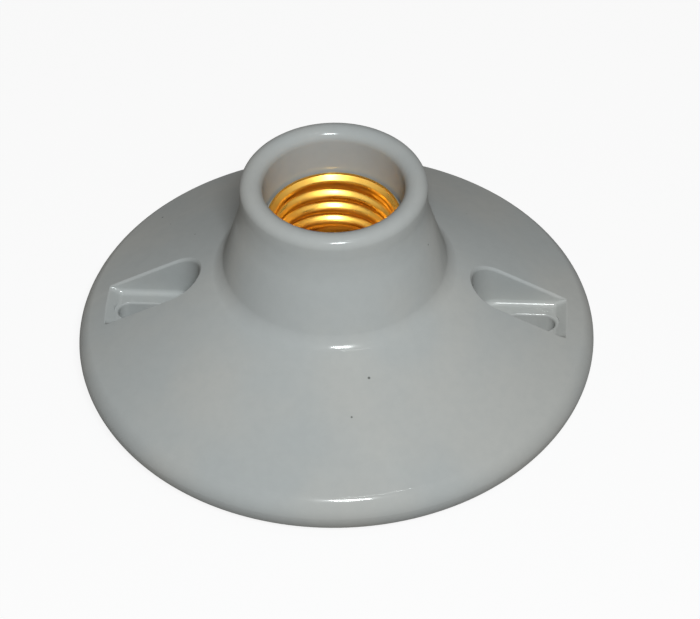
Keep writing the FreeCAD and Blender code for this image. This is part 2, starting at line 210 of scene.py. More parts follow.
class MetalSettings(bpy.types.PropertyGroup):
    """Sizes and colours of the metal parts."""

    thread_pitch: FloatProperty(
        name="Thread pitch", description="Pitch of the rolled lamp thread",
        default=3.629 * MM, unit="LENGTH",
    )
    thread_root: FloatProperty(
        name="Thread radius", description="Inside radius at the outward rolls",
        default=13.3 * MM, unit="LENGTH",
    )
    thread_depth: FloatProperty(
        name="Thread depth", description="Depth of the rolled thread",
        default=1.12 * MM, unit="LENGTH",
    )
    thread_end: FloatProperty(
        name="Thread end", description="Height where the thread runs out above the plain foot of the shell",
        default=25.6 * MM, unit="LENGTH",
    )
    sheet: FloatProperty(
        name="Sheet", description="Thickness of the shell's sheet",
        default=0.4 * MM, unit="LENGTH",
    )
    shell_top: FloatProperty(
        name="Shell top", description="Height of the shell's top edge",
        default=40.6 * MM, unit="LENGTH",
    )
    leaf_width: FloatProperty(
        name="Leaf width", description="Width of the contact leaf",
        default=6.0 * MM, unit="LENGTH",
    )
    leaf_thickness: FloatProperty(
        name="Leaf thickness", description="Thickness of the contact leaf",
        default=0.5 * MM, unit="LENGTH",
    )
    leaf_rise: FloatProperty(
        name="Leaf rise", description="Rise of the leaf from its screw to its crest",
        default=3.9 * MM, unit="LENGTH",
    )
    plate_width: FloatProperty(
        name="Plate width", description="Width of the terminal plates",
        default=9.0 * MM, unit="LENGTH",
    )
    small_screw: FloatProperty(
        name="Small screws", description="Thread diameter of the fixing screws",
        default=3.0 * MM, unit="LENGTH",
    )
    wire_screw: FloatProperty(
        name="Wire screws", description="Thread diameter of the wire screws",
        default=4.0 * MM, unit="LENGTH",
    )
    shell_brass: FloatVectorProperty(
        name="Shell brass", description="Gold-coloured shell",
        subtype="COLOR", default=(0.93, 0.55, 0.105),
    )
    terminal_brass: FloatVectorProperty(
        name="Terminal brass", description="Terminal plates and wire screws",
        subtype="COLOR", default=(0.72, 0.52, 0.22),
    )
    contact_bronze: FloatVectorProperty(
        name="Contact bronze", description="Spring leaf",
        subtype="COLOR", default=(0.72, 0.44, 0.20),
    )
    plated_steel: FloatVectorProperty(
        name="Plated steel", description="Zinc plated screws and washers",
        subtype="COLOR", default=(0.58, 0.58, 0.56),
    )


class StudioSettings(bpy.types.PropertyGroup):
    """Floor, light and camera."""

    floor: FloatVectorProperty(
        name="Floor", description="Colour that the floor casts on the object",
        subtype="COLOR", default=(0.12, 0.105, 0.09),
    )
    floor_glow: FloatProperty(
        name="Floor glow", description="How far the floor is seen as plain white",
        default=0.88, min=0.0, max=1.0,
    )
    floor_cast: FloatProperty(
        name="Floor cast", description="Soft light that the floor gives the underside",
        default=0.22, min=0.0, max=1.0,
    )
    key_power: FloatProperty(
        name="Key light", description="Power of the key light",
        default=6.35, unit="POWER",
    )
    key_turn: FloatProperty(
        name="Key turn", description="Turn of the key light round the lamp's axis",
        default=math.radians(9.0), subtype="ANGLE",
    )
    key_rise: FloatProperty(
        name="Key rise", description="Angle of the key light above the floor",
        default=math.radians(48.0), subtype="ANGLE",
    )
    tube_power: FloatProperty(
        name="Tube light", description="Power of the long overhead light",
        default=0.5, unit="POWER",
    )
    sky: FloatProperty(
        name="Sky", description="Strength of the soft light all round",
        default=0.11, min=0.0,
    )
    sky_tint: FloatVectorProperty(
        name="Sky tint", description="Colour of the soft light all round",
        subtype="COLOR", default=(1.0, 0.88, 0.76),
    )
    camera_turn: FloatProperty(
        name="Camera turn", description="Turn of the camera round the lamp's axis",
        default=math.radians(4.0), subtype="ANGLE",
    )
    camera_rise: FloatProperty(
        name="Camera rise", description="Angle of the camera above the floor",
        default=math.radians(43.06), subtype="ANGLE",
    )
    camera_roll: FloatProperty(
        name="Camera roll", description="Roll of the camera",
        default=math.radians(-0.85), subtype="ANGLE",
    )
    camera_distance: FloatProperty(
        name="Camera distance", description="Distance of the camera",
        default=734.5 * MM, unit="LENGTH",
    )
    lens: FloatProperty(
        name="Lens", description="Focal length in millimetres",
        default=177.15, min=20.0,
    )


# Mesh helpers


def outline(bm, points, segments=8):
    """Chain of edges through (r, z, rounding) points in the XZ plane, with its corners rounded."""
    places = [metres(r, 0, z) for r, z, rounding in points]
    verts = [bm.verts.new(place) for place in places]
    for one, two in zip(verts, verts[1:]):
        bm.edges.new((one, two))
    for i, (r, z, rounding) in enumerate(points):
        if rounding:
            half = (places[i - 1] - places[i]).angle(places[i + 1] - places[i]) / 2
            bmesh.ops.bevel(
                bm, geom=[verts[i]], offset=rounding * MM / math.tan(half), offset_type="OFFSET",
                affect="VERTICES", segments=segments, profile=0.5, material=-1, clamp_overlap=False,
            )
    bmesh.ops.remove_doubles(bm, verts=bm.verts, dist=0.002 * MM)


def turn(bm, steps):
    """Spins a half section about the lamp's axis into a closed skin that faces outwards."""
    bmesh.ops.spin(
        bm, geom=bm.verts[:] + bm.edges[:], cent=(0, 0, 0), axis=UP, dvec=(0, 0, 0),
        angle=TURN, steps=steps, use_merge=True,
    )
    bmesh.ops.remove_doubles(bm, verts=bm.verts, dist=0.002 * MM)
    bmesh.ops.recalc_face_normals(bm, faces=bm.faces)


def raise_face(bm, face, height):
    """Extrudes a flat face upwards into a closed bar."""
    top = bmesh.ops.extrude_face_region(bm, geom=[face])["geom"]
    bmesh.ops.translate(bm, vec=UP * height, verts=[v for v in top if isinstance(v, bmesh.types.BMVert)])
    bmesh.ops.recalc_face_normals(bm, faces=bm.faces)


def bar(x0, x1, width, low, high, corners=40):
    """Upright bar along X with round ends."""
    bm = bmesh.new()
    verts = bmesh.ops.create_circle(bm, cap_ends=True, radius=width / 2 * MM, segments=corners)["verts"]
    bmesh.ops.rotate(bm, verts=verts, cent=(0, 0, 0), matrix=Matrix.Rotation(TURN / corners / 2, 3, "Z"))
    for vert in verts:
        vert.co.x += (x1 if vert.co.x > 0 else x0) * MM
        vert.co.y /= math.cos(TURN / corners / 2)
        vert.co.z = low * MM
    raise_face(bm, bm.faces[:][0], (high - low) * MM)
    return bm


def cap(bm, where):
    """Closes an open, flat loop of edges whose corners all pass a test."""
    edges = [e for e in bm.edges if e.is_boundary and all(where(v.co / MM) for v in e.verts)]
    bmesh.ops.contextual_create(bm, geom=edges)


def recess_room(round_x, half, floor, top, edge, dome):
    """Room for a fixing screw's head: round inner end, filleted floor, slanted end, and a rim that
    rolls over into the dome.

    The half section is drawn at a nominal depth, swept round the inner end and along the recess, and
    then stretched in height so that its floor and its rim follow the two surfaces."""
    deep, lap, lap_rise, far_x = 10.0, 2.0, 0.4, 57.5
    bm = bmesh.new()
    outline(bm, [
        (0, 0, 0),
        (half, 0, RECESS_FLOOR_ROUND),
        (half, deep, edge),
        (half + lap, deep + lap_rise, 0),
        (half + lap, deep + 4, 0),
    ], segments=6)
    bmesh.ops.rotate(bm, verts=bm.verts, cent=(0, 0, 0), matrix=Matrix.Rotation(math.pi / 2, 3, "Z"))
    bmesh.ops.translate(bm, verts=bm.verts, vec=metres(round_x, 0, 0))
    bmesh.ops.spin(
        bm, geom=bm.verts[:] + bm.edges[:], cent=metres(round_x, 0, 0), axis=UP, dvec=(0, 0, 0),
        angle=math.pi, steps=28, use_merge=False,
    )
    bmesh.ops.remove_doubles(bm, verts=bm.verts, dist=0.002 * MM)

    ridge_x = (dome(0) - floor + RECESS_OUTER_X * RECESS_END_SLOPE) / (RECESS_END_SLOPE + dome(0) - dome(1))
    ridge_z = floor + (ridge_x - RECESS_OUTER_X) * RECESS_END_SLOPE
    line = bmesh.new()
    outline(line, [
        (round_x, floor, 0),
        (RECESS_OUTER_X, floor, RECESS_END_ROUND),
        (ridge_x, ridge_z, edge),
        (far_x, ridge_z - (far_x - ridge_x) * 0.25, 0),
    ], segments=6)
    longest = sorted(line.edges, key=lambda e: -e.calc_length())[:2]
    bmesh.ops.subdivide_edges(line, edges=longest, cuts=7)
    stations = sorted((v.co.x / MM, v.co.z / MM) for v in line.verts)
    line.free()

    def edges_at(edges, x, reach):
        return [e for e in edges if all(abs(v.co.x / MM - x) < reach for v in e.verts)]

    front = edges_at([e for e in bm.edges if e.is_boundary], round_x, 0.01)
    for x, z in stations[1:]:
        moved = bmesh.ops.extrude_edge_only(bm, edges=front)["geom"]
        for vert in (v for v in moved if isinstance(v, bmesh.types.BMVert)):
            vert.co.x = x * MM
        front = edges_at([e for e in moved if isinstance(e, bmesh.types.BMEdge)], x, 0.001)

    for vert in bm.verts:
        x, y, z = vert.co / MM
        base = floor
        for (xa, za), (xb, zb) in zip(stations, stations[1:]):
            if xa <= x <= xb:
                base = za + (zb - za) * (x - xa) / (xb - xa)
        roof = max(dome(math.hypot(x, y)), base)
        share = min((roof - base) / (RECESS_FLOOR_ROUND + edge + lap_rise), 1.0)
        if z > deep + 3:
            level = top - 5
        elif z > deep / 2:
            level = roof + (z - deep) * max(share, 0.25 if z > deep else 0)
        else:
            level = base + z * share
        vert.co.z = level * MM
    bm.edges.new([v for v in bm.verts if v.co.x / MM > far_x - 0.1 and v.co.z / MM > top - 6])
    cap(bm, lambda co: co.x > far_x - 0.1)
    cap(bm, lambda co: co.z > top - 6)
    bmesh.ops.recalc_face_normals(bm, faces=bm.faces)
    return bm


def slot_room(half, floor):
    """Room for a fixing screw's shank, with a rolled edge on the recess floor."""
    low, lap, high = -1, half + 0.9, floor + 1.4
    bm = bmesh.new()
    outline(bm, [(half, low, 0), (half, floor, SLOT_ROUND), (lap, floor + 0.12, 0), (lap, high, 0)], segments=5)
    bmesh.ops.rotate(bm, verts=bm.verts, cent=(0, 0, 0), matrix=Matrix.Rotation(math.pi / 2, 3, "Z"))
    bmesh.ops.spin(
        bm, geom=bm.verts[:] + bm.edges[:], cent=(0, 0, 0), axis=UP, dvec=(0, 0, 0),
        angle=TURN, steps=40, use_merge=True,
    )
    for vert in bm.verts:
        vert.co.x += (SLOT_OUTER_X if vert.co.x > 0.0001 * MM else SLOT_INNER_X) * MM
    cap(bm, lambda co: co.z < low + 0.01)
    cap(bm, lambda co: co.z > high - 0.01)
    bmesh.ops.recalc_face_normals(bm, faces=bm.faces)
    return bm


def box(x0, x1, y0, y1, low, high, corner=0.0):
    """Upright block, with rounded upright edges where a corner radius is given."""
    bm = bmesh.new()
    verts = bmesh.ops.create_cube(bm, size=MM)["verts"]
    bmesh.ops.scale(bm, vec=(x1 - x0, y1 - y0, high - low), verts=verts)
    bmesh.ops.translate(bm, vec=metres((x0 + x1) / 2, (y0 + y1) / 2, (low + high) / 2), verts=verts)
    if corner:
        upright = [e for e in bm.edges if abs(e.verts[0].co.z - e.verts[1].co.z) > 0.5 * (high - low) * MM]
        bmesh.ops.bevel(
            bm, geom=upright, offset=corner * MM, offset_type="OFFSET", affect="EDGES",
            segments=5, profile=0.5, material=-1,
        )
    return bm


def rod(radius, x, y, low, high, corners=32):
    """Upright round bar."""
    bm = bmesh.new()
    bmesh.ops.create_cone(
        bm, cap_ends=True, segments=corners, radius1=radius * MM, radius2=radius * MM,
        depth=(high - low) * MM, matrix=Matrix.Translation(metres(x, y, (low + high) / 2)),
    )
    return bm


def turned_about(bm):
    """The same shape on the other side of the lamp's axis."""
    other = bm.copy()
    bmesh.ops.rotate(other, verts=other.verts, cent=(0, 0, 0), matrix=Matrix.Rotation(math.pi, 3, "Z"))
    return other


def to_object(name, bm):
    mesh = bpy.data.meshes.new(name)
    bm.to_mesh(mesh)
    bm.free()
    obj = bpy.data.objects.new(name, mesh)
    bpy.context.scene.collection.objects.link(obj)
    return obj


def shape_with(bm, tools, operation):
    """Joins or cuts with each tool in turn, and returns the result."""
    work = to_object("work", bm)
    helpers = [to_object("helper", tool) for tool in tools]
    for helper in helpers:
        step = work.modifiers.new("step", "BOOLEAN")
        step.operation = operation
        step.solver = "EXACT"
        step.object = helper
    shown = work.evaluated_get(bpy.context.evaluated_depsgraph_get())
    result = bmesh.new()
    result.from_mesh(shown.to_mesh())
    shown.to_mesh_clear()
    for obj in [work] + helpers:
        mesh = obj.data
        bpy.data.objects.remove(obj)
        bpy.data.meshes.remove(mesh)
    if not result.faces:
        raise RuntimeError("a joined or cut shape came out empty")
    return result


def sharp_edges(bm, least, where=None):
    """Edges whose faces turn by more than an angle, within a part of the piece."""
    found = []
    for edge in bm.edges:
        if len(edge.link_faces) == 2 and edge.calc_face_angle() > least:
            if where is None or all(where(v.co / MM) for v in edge.verts):
                found.append(edge)
    return found


def finish_piece(name, bm, material, nodes, body="root", edge=0.0):
    """Makes the piece, smooth and weighted by its large faces, and lets it stand for its CAD nodes.

    A stamped piece has its edges broken by a small bevel; the others keep theirs sharp."""
    if not edge:
        for crease in sharp_edges(bm, math.radians(40)):
            crease.smooth = False
    obj = to_object(name, bm)
    obj.data.shade_smooth()
    obj.data.materials.append(material)
    if edge:
        broken = obj.modifiers.new("broken_edges", "BEVEL")
        broken.width = edge * MM
        broken.segments = 2
        broken.limit_method = "ANGLE"
        broken.angle_limit = math.radians(40)
    shading = obj.modifiers.new("shading", "WEIGHTED_NORMAL")
    shading.mode = "FACE_AREA"
    shading.weight = 50
    shading.keep_sharp = True
    if body:
        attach(obj, body)
    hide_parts(*nodes)
    return obj


# Material helpers


def shader(name, colour, metallic, roughness):
    mat = bpy.data.materials.new(name)
    mat.use_nodes = True
    surface = mat.node_tree.nodes["Principled BSDF"]
    surface.inputs["Base Color"].default_value = (*colour, 1)
    surface.inputs["Metallic"].default_value = metallic
    surface.inputs["Roughness"].default_value = roughness
    return mat, surface


def add_node(mat, kind, **values):
    """A node of a kind, with its settings and sockets by name; a socket value is linked to it."""
    node = mat.node_tree.nodes.new(kind)
    for key, value in values.items():
        if hasattr(node, key) and key not in node.inputs:
            setattr(node, key, value)
            continue
        socket = node.inputs[key.replace("_", " ")]
        if isinstance(value, bpy.types.NodeSocket):
            mat.node_tree.links.new(value, socket)
        else:
            socket.default_value = value
    return node


def place_of(mat, scale=(1, 1, 1)):
    """Object coordinates, scaled."""
    where = add_node(mat, "ShaderNodeTexCoord").outputs["Object"]
    return add_node(mat, "ShaderNodeMapping", Vector=where, Scale=scale).outputs["Vector"]


def noise(mat, where, scale, detail=2.0, rough=0.5):
    node = add_node(mat, "ShaderNodeTexNoise", Vector=where, Scale=scale, Detail=detail, Roughness=rough)
    return node.outputs["Fac"]


def spread(mat, value, low, high, to_low, to_high):
    """Maps a value from one range to another, smoothly and clamped."""
    node = add_node(mat, "ShaderNodeMapRange", interpolation_type="SMOOTHSTEP", Value=value)
    for socket, number in zip(("From Min", "From Max", "To Min", "To Max"), (low, high, to_low, to_high)):
        node.inputs[socket].default_value = number
    return node.outputs["Result"]


def mix(mat, factor, one, two, kind="RGBA"):
    """Mixes two colours, or two numbers where the kind is FLOAT; each is a value or a socket."""
    node = mat.node_tree.nodes.new("ShaderNodeMix")
    node.data_type = kind
    colour = kind == "RGBA"
    links = mat.node_tree.links
    links.new(factor, node.inputs["Factor"])
    for at, value in zip((6, 7) if colour else (2, 3), (one, two)):
        if isinstance(value, bpy.types.NodeSocket):
            links.new(value, node.inputs[at])
        else:
            node.inputs[at].default_value = (*value, 1) if colour else value
    return node.outputs[2 if colour else 0]


def bump(mat, surface, heights):
    """Adds bumps to a shader; each is (height, strength, distance in millimetres)."""
    normal = None
    for height, strength, distance in heights:
        node = add_node(mat, "ShaderNodeBump", Height=height, Strength=strength, Distance=distance * MM)
        if normal is not None:
            mat.node_tree.links.new(normal, node.inputs["Normal"])
        normal = node.outputs["Normal"]
    mat.node_tree.links.new(normal, surface.inputs["Normal"])


def seen_rays(owner):
    """1 for a ray from the camera, a mirror or glass, and 0 for the light that falls on surfaces."""
    path = add_node(owner, "ShaderNodeLightPath")
    seen = path.outputs["Is Camera Ray"]
    for ray in ("Is Glossy Ray", "Is Transmission Ray"):
        either = add_node(owner, "ShaderNodeMath", operation="MAXIMUM")
        owner.node_tree.links.new(seen, either.inputs[0])
        owner.node_tree.links.new(path.outputs[ray], either.inputs[1])
        seen = either.outputs[0]
    return seen


def glaze_material(body):
    """Grey-white glaze with faint pooling, rare dark specks, soft waves, and a bare foot."""
    mat, surface = shader("porcelain_glaze", body.glaze, body.gloss, 0.14)
    links = mat.node_tree.links
    where = place_of(mat)
    pooling = spread(mat, noise(mat, where, 34.0, 3.0), 0.35, 0.68, 0.0, 1.0)
    colour = mix(mat, pooling, body.glaze, body.warm_glaze)
    mottle = spread(mat, noise(mat, where, 420.0, 4.0, 0.6), 0.3, 0.75, 0.0, 0.16)
    colour = mix(mat, mottle, colour, [c * 0.82 for c in body.glaze])
    cells = add_node(mat, "ShaderNodeTexVoronoi", Vector=where, Scale=118.0)
    fleck = spread(mat, cells.outputs["Distance"], 0.024, 0.042, 0.85, 0.0)
    colour = mix(mat, fleck, colour, body.speck)
    height = add_node(mat, "ShaderNodeSeparateXYZ", Vector=where).outputs["Z"]
    wander = add_node(mat, "ShaderNodeMath", operation="MULTIPLY_ADD")
    links.new(noise(mat, where, 160.0, 3.0), wander.inputs[0])
    wander.inputs[1].default_value = -0.7 * MM
    links.new(height, wander.inputs[2])
    bare = spread(mat, wander.outputs[0], 0.0, 0.25 * MM, 1.0, 0.0)
    grain = spread(mat, noise(mat, where, 1500.0, 4.0), 0.3, 0.7, 0.0, 1.0)
    rough_clay = mix(mat, grain, body.bisque, [c * 0.86 for c in body.bisque])
    links.new(mix(mat, bare, colour, rough_clay), surface.inputs["Base Color"])
    gloss = spread(mat, noise(mat, where, 130.0, 3.0), 0.3, 0.7, 0.10, 0.19)
    links.new(mix(mat, bare, gloss, 0.75, "FLOAT"), surface.inputs["Roughness"])
    surface.inputs["Specular IOR Level"].default_value = 0.0
    waves = noise(mat, where, 62.0, 2.0)
    ripple = noise(mat, where, 520.0, 3.0)
    clay = mix(mat, bare, 0.0, grain, "FLOAT")
    bump(mat, surface, [(waves, 0.35, 0.25), (ripple, 0.12, 0.06), (clay, 0.5, 0.05)])
    return mat


def metal_material(name, colour, roughness, stain=0.25, brush=(1, 1, 1), scratch=0.15):
    """Metal with faint stains, brushed or drawn lines and small differences in gloss."""
    mat, surface = shader(name, colour, 1.0, roughness)
    links = mat.node_tree.links
    where = place_of(mat)
    patches = spread(mat, noise(mat, where, 260.0, 4.0, 0.6), 0.42, 0.72, 0.0, stain)
    dull = [c * c * 0.55 + 0.02 for c in colour]
    links.new(mix(mat, patches, colour, dull), surface.inputs["Base Color"])
    lines = noise(mat, place_of(mat, brush), 900.0, 3.0, 0.7)
    links.new(spread(mat, lines, 0.3, 0.7, roughness * 0.75, roughness * 1.45), surface.inputs["Roughness"])
    bump(mat, surface, [(lines, scratch, 0.03), (noise(mat, where, 320.0, 2.0), 0.12, 0.05)])
    return mat


# Pieces


class LAMPHOLDER_OT_porcelain(bpy.types.Operator):
    """Presses and glazes the porcelain body with its well, recesses, slots and terminal pockets"""

    bl_idname = "lampholder.porcelain"
    bl_label = "Porcelain Body"

    def execute(self, context):
        s, metal = context.scene.holder_porcelain, context.scene.holder_metal
        top, mouth, rim = s.height / MM, s.mouth_radius / MM, s.rim_radius / MM
        neck = mouth + s.lip_wall / MM
        fall = math.tan(s.dome_angle)
        edge_z = s.rim_height / MM + RIM_ROUND * math.tan((math.pi / 2 - s.dome_angle) / 2)
        well, shell_top = mouth - WELL_STEP, metal.shell_top / MM
        foot, cavity = s.foot_radius / MM, (s.foot_radius - s.foot_width) / MM
        floor, recess_floor = s.well_floor / MM, s.recess_floor / MM

        def dome(r):
            return edge_z + (rim - r) * fall

        def ceiling(r):
            return dome(r) - DOME_WALL / math.cos(s.dome_angle)

        foot_r, inner = s.neck_foot / MM, cavity - CAVITY_DRAFT
        bm = bmesh.new()
        outline(bm, [
            (0, floor, 0),
            (well, floor, 0),
            (well, shell_top - LEDGE_DROP, LEDGE_ROUND),
            (mouth, shell_top - LEDGE_DROP, LEDGE_ROUND),
            (mouth, top, LIP_INNER_ROUND),
            (neck, top, s.lip_wall / MM - LIP_INNER_ROUND),
            (neck, top - FLARE_DROP, FLARE_ROUND),
            (foot_r, dome(foot_r), NECK_FOOT_ROUND),
            (rim, edge_z, RIM_ROUND),
            (rim, (rim - foot) * RIM_UNDER_SLOPE, RIM_UNDER_ROUND),
            (foot, 0, FOOT_ROUND),
            (cavity, 0, FOOT_ROUND),
            (inner, ceiling(inner), CAVITY_ROUND),
            (HUB_R, ceiling(HUB_R), CAVITY_ROUND),
            (HUB_R - HUB_DRAFT, HUB_FACE_Z, HUB_ROUND),
            (0, HUB_FACE_Z, 0),
        ], segments=9)
        turn(bm, s.steps)

        width, half = s.recess_width / MM, s.recess_width / 2 / MM
        round_x = RECESS_INNER_R + half
        boss = bar(round_x, rim, width + 2 * BOSS_WALL, BOSS_Z, 40.0)
        bmesh.ops.bevel(
            boss, geom=[e for e in boss.edges if all(abs(v.co.z / MM - BOSS_Z) < 0.01 for v in e.verts)],
            offset=BOSS_ROUND * MM, offset_type="OFFSET", affect="EDGES", segments=3, profile=0.5, material=-1,
        )
        roof = bmesh.new()
        outline(roof, [
            (0, BOSS_Z - 1, 0),
            (foot, BOSS_Z - 1, 0),
            (foot, dome(foot) - BOSS_SINK, 0),
            (0, dome(0) - BOSS_SINK, 0),
        ])
        turn(roof, 96)
        boss = shape_with(boss, [roof], "INTERSECT")
        low = HUB_FACE_Z + 1
        island_top = floor + ISLAND_H
        island = shape_with(rod(ISLAND_R, 0, 0, low, island_top, 48), [
            box(-ISLAND_TAIL_W / 2, ISLAND_TAIL_W / 2, ISLAND_TAIL_Y, 0, low, island_top),
            rod(ISLAND_TAIL_W / 2, 0, ISLAND_TAIL_Y, low, island_top),
        ], "UNION")
        bm = shape_with(bm, [boss.copy(), turned_about(boss), island], "UNION")
        boss.free()

        recess = recess_room(round_x, half, recess_floor, top, s.edge_round / MM, dome)
        slot = slot_room(s.slot_width / 2 / MM, recess_floor)
        bm = shape_with(bm, [recess.copy(), turned_about(recess), slot.copy(), turned_about(slot)], "DIFFERENCE")
        recess.free()
        slot.free()

        reach, edge = HUB_R + POCKET_GAP, PLATE_EDGE + POCKET_GAP
        wide_x, wide_y = SHELL_SCREW_X + edge, (SHELL_SCREW_Y - edge, SHELL_SCREW_Y + edge)
        snug_y = -(WIRE_SCREW_Y - WASHER_HALF_L - POCKET_GAP)
        plate_x = metal.plate_width / 2 / MM + POCKET_GAP
        washer_x = plate_x + WASHER_LIP_GAP + WASHER_T
        small_r, wire_r = metal.small_screw / 2 / MM + HOLE_GAP, metal.wire_screw / 2 / MM + HOLE_GAP
        tip = PLATE_Z + WIRE_SCREW_TIP + BLIND_DEPTH
        # The pockets start at slightly different depths below the hub, so that no two tools share a face
        bm = shape_with(bm, [
            box(-wide_x, wide_x, *wide_y, 0, PLATE_Z, PLATE_CORNER),
            box(-washer_x, washer_x, wide_y[1] - 2 * PLATE_CORNER, reach, 0.1, PLATE_Z),
            box(-plate_x, plate_x, snug_y - 2 * PLATE_CORNER, CONTACT_SCREW_Y + edge, 0.2, PLATE_Z, PLATE_CORNER),
            box(-washer_x, washer_x, -reach, snug_y, 0.3, PLATE_Z),
            rod(small_r, SHELL_SCREW_X, SHELL_SCREW_Y, 1, island_top),
            rod(small_r, -SHELL_SCREW_X, SHELL_SCREW_Y, 1, island_top),
            rod(small_r, 0, CONTACT_SCREW_Y, 1, island_top + 1),
            rod(wire_r, 0, WIRE_SCREW_Y, 1, tip),
            rod(wire_r, 0, -WIRE_SCREW_Y, 1, tip),
        ], "DIFFERENCE")
        rims = sharp_edges(
            bm, math.radians(50), lambda co: co.z < PLATE_Z - 0.1 and math.hypot(co.x, co.y) < reach,
        )
        bmesh.ops.bevel(
            bm, geom=rims, offset=POCKET_ROUND * MM, offset_type="OFFSET", affect="EDGES", segments=2,
            profile=0.5, material=-1, clamp_overlap=True,
        )
        finish_piece("glazed_body", bm, glaze_material(s), ["porcelain_body"])
        return {"FINISHED"}


class LAMPHOLDER_OT_shell(bpy.types.Operator):
    """Draws and rolls the brass screw shell with its thread, flared collar and keyhole"""

    bl_idname = "lampholder.shell"
    bl_label = "Screw Shell"

    def execute(self, context):
        s = context.scene.holder_metal
        pitch, sheet = s.thread_pitch / MM, s.sheet / MM
        depth, top = s.thread_depth / MM, s.shell_top / MM
        wall = s.thread_root / MM - depth / 2 + sheet
        seat = context.scene.holder_porcelain.well_floor / MM
        collar = context.scene.holder_porcelain.mouth_radius / MM - WELL_STEP - SHELL_GAP
        bm = bmesh.new()
        outline(bm, [
            (SHELL_HOLE_R, seat, 0),
            (wall, seat, SHELL_BEND),
            (wall, top - COLLAR_H, COLLAR_BEND),
            (collar, top - COLLAR_EDGE, COLLAR_EDGE_BEND),
            (collar, top, 0),
        ], segments=5)
        long_edge = max(bm.edges, key=lambda e: abs(e.verts[0].co.z - e.verts[1].co.z))
        bmesh.ops.subdivide_edges(bm, edges=[long_edge], cuts=119)
        turn(bm, 120)
        low, high = s.thread_end / MM, top - THREAD_STOP
        for vert in bm.verts:
            co = vert.co / MM
            start = min(max((co.z - low) / THREAD_RISE, 0), 1)
            stop = min(max((high - co.z) / THREAD_FALL, 0), 1)
            fade = (start * start * (3 - 2 * start)) * (stop * stop * (3 - 2 * stop))
            angle = math.atan2(co.y, co.x)
            roll = fade * depth / 2 * math.cos(TURN * (co.z + THREAD_START) / pitch - angle)
            r = math.hypot(co.x, co.y)
            vert.co.x *= (r + roll) / r
            vert.co.y *= (r + roll) / r
        bmesh.ops.recalc_face_normals(bm, faces=bm.faces)
        bmesh.ops.solidify(bm, geom=bm.faces[:], thickness=s.sheet)
        skin = to_object("shell_skin", bm)
        bm = bmesh.new()
        bm.from_mesh(skin.data)
        bpy.data.objects.remove(skin)
        hole_r, low, high = s.small_screw / 2 / MM + HOLE_GAP, seat - 1, seat + 1.2
        bm = shape_with(bm, [
            rod(hole_r, SHELL_SCREW_X, SHELL_SCREW_Y, low, high),
            rod(hole_r, -SHELL_SCREW_X, SHELL_SCREW_Y, low, high),
            box(-KEYHOLE_W / 2, KEYHOLE_W / 2, -KEYHOLE_REACH, 0, low, high, PLATE_CORNER),
        ], "DIFFERENCE")
        brass = metal_material("shell_brass_rolled", s.shell_brass, 0.31, 0.08, (0.12, 0.12, 1.0), 0.015)
        finish_piece("rolled_shell", bm, brass, ["screw_shell"])
        return {"FINISHED"}


class LAMPHOLDER_OT_contact(bpy.types.Operator):
    """Bends the springy bronze leaf that meets the lamp's tip"""

    bl_idname = "lampholder.contact"
    bl_label = "Centre Contact"

    def execute(self, context):
        s = context.scene.holder_metal
        thick, half = s.leaf_thickness / MM, s.leaf_width / 2 / MM
        base = context.scene.holder_porcelain.well_floor / MM + ISLAND_H + thick / 2
        tail_y, root_y = CONTACT_SCREW_Y - LEAF_TAIL, CONTACT_SCREW_Y + LEAF_ROOT
        crest_y, crest_z = root_y + LEAF_RUN, base + s.leaf_rise / MM
        bm = bmesh.new()
        outline(bm, [
            (tail_y, base, 0),
            (root_y, base, LEAF_BEND),
            (crest_y, crest_z, LEAF_BEND),
            (crest_y + LEAF_TIP_RUN, crest_z - LEAF_TIP_DROP, 0),
        ], segments=8)
        bmesh.ops.rotate(bm, verts=bm.verts, cent=(0, 0, 0), matrix=Matrix.Rotation(math.pi / 2, 3, "Z"))
        bmesh.ops.translate(bm, verts=bm.verts, vec=metres(-half, 0, 0))
        wide = bmesh.ops.extrude_edge_only(bm, edges=bm.edges[:])["geom"]
        other_side = [v for v in wide if isinstance(v, bmesh.types.BMVert)]
        bmesh.ops.translate(bm, verts=other_side, vec=metres(2 * half, 0, 0))
        bmesh.ops.recalc_face_normals(bm, faces=bm.faces)
        bmesh.ops.solidify(bm, geom=bm.faces[:], thickness=thick * MM)
        lowest = min(v.co.z for v in bm.verts) / MM
        bmesh.ops.translate(bm, verts=bm.verts, vec=metres(0, 0, base - thick / 2 - lowest))
        bm = shape_with(bm, [
            box(-half, half, tail_y, crest_y + LEAF_TIP_CUT, base - 3, crest_z + 3, LEAF_CORNER),
        ], "INTERSECT")
        hole = rod(s.small_screw / 2 / MM + HOLE_GAP, 0, CONTACT_SCREW_Y, base - 2, base + 2)
        bm = shape_with(bm, [hole], "DIFFERENCE")
        bronze = metal_material("bronze_leaf", s.contact_bronze, 0.26, 0.35, (1.0, 0.06, 1.0), 0.2)
        leaf = finish_piece("bronze_leaf", bm, bronze, ["centre_contact"], body=None, edge=0.09)
        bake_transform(leaf)
        return {"FINISHED"}


